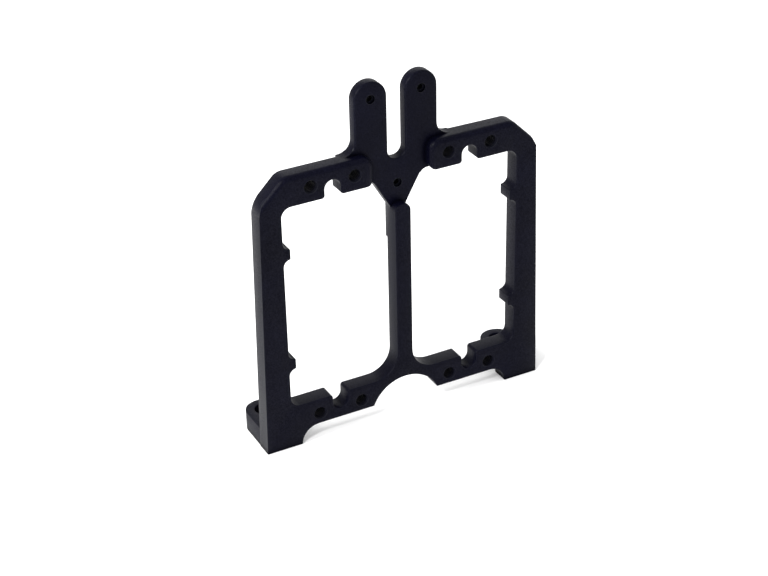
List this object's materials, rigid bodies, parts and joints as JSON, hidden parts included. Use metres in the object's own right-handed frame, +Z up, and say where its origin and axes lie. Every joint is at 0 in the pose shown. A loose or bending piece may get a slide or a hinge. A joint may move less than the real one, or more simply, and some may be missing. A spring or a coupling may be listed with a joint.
{
  "type": "servo bracket",
  "caption": "Flat frame with side-by-side windows for slim wing servos, a forked tab above, and round-ended mounting lugs behind the feet.",
  "frame": {"origin": "on the sole, midway across and midway front to back", "axes": "+Z up, from the feet to the ears; +Y to the back, where the lugs point; +X to the right seen from the front"},
  "size_m": [0.0516, 0.011, 0.0606],
  "materials": {
    "black_anodised": "satin black anodised, fine bead-blasted"
  },
  "bodies": {
    "root": {"servo_bracket": "black_anodised"}
  },
  "joints": []
}
